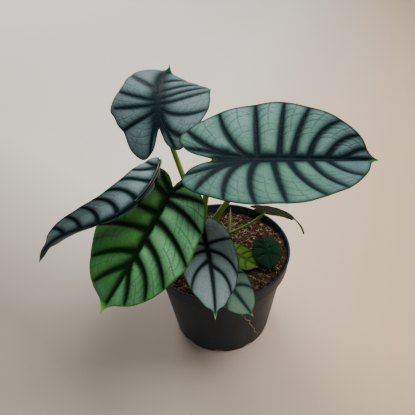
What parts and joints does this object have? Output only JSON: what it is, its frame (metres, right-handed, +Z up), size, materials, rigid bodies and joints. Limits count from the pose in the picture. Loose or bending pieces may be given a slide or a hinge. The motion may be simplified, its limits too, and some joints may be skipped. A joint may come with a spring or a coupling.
{
  "type": "potted alocasia",
  "caption": "Young alocasia in a round plastic nursery pot: silvery shield-shaped leaves with dark veins on green stems rising from brown potting mix.",
  "frame": {"origin": "middle of the pot's underside, on the surface that the pot stands on", "axes": "+Z up the pot; -Y towards the side that the front leaves hang over; +X towards the largest leaf"},
  "size_m": [0.256, 0.1799, 0.2236],
  "materials": {
    "pot_plastic": "satin",
    "potting_mix": "matte",
    "corm": "matte",
    "silver_leaf": "satin",
    "green_leaf": "satin",
    "lime_leaf": "satin",
    "stem": "satin",
    "sheath": "satin"
  },
  "bodies": {
    "root": {"pot": "pot_plastic", "potting_mix": "potting_mix", "crown": "corm", "side_crown": "corm", "seedling_crown": "corm", "back_blade": "silver_leaf", "right_blade": "silver_leaf", "left_blade": "silver_leaf", "front_left_blade": "green_leaf", "front_blade": "silver_leaf", "low_front_blade": "silver_leaf", "rear_blade": "silver_leaf", "dark_seedling_blade": "green_leaf", "lime_seedling_blade": "lime_leaf", "back_petiole": "stem", "right_petiole": "stem", "left_petiole": "stem", "front_left_petiole": "stem", "front_petiole": "stem", "low_front_petiole": "stem", "rear_petiole": "stem", "dark_seedling_petiole": "stem", "lime_seedling_petiole": "stem", "rolled_new_leaf": "stem", "tall_sheath": "sheath", "short_sheath": "sheath"}
  },
  "joints": []
}
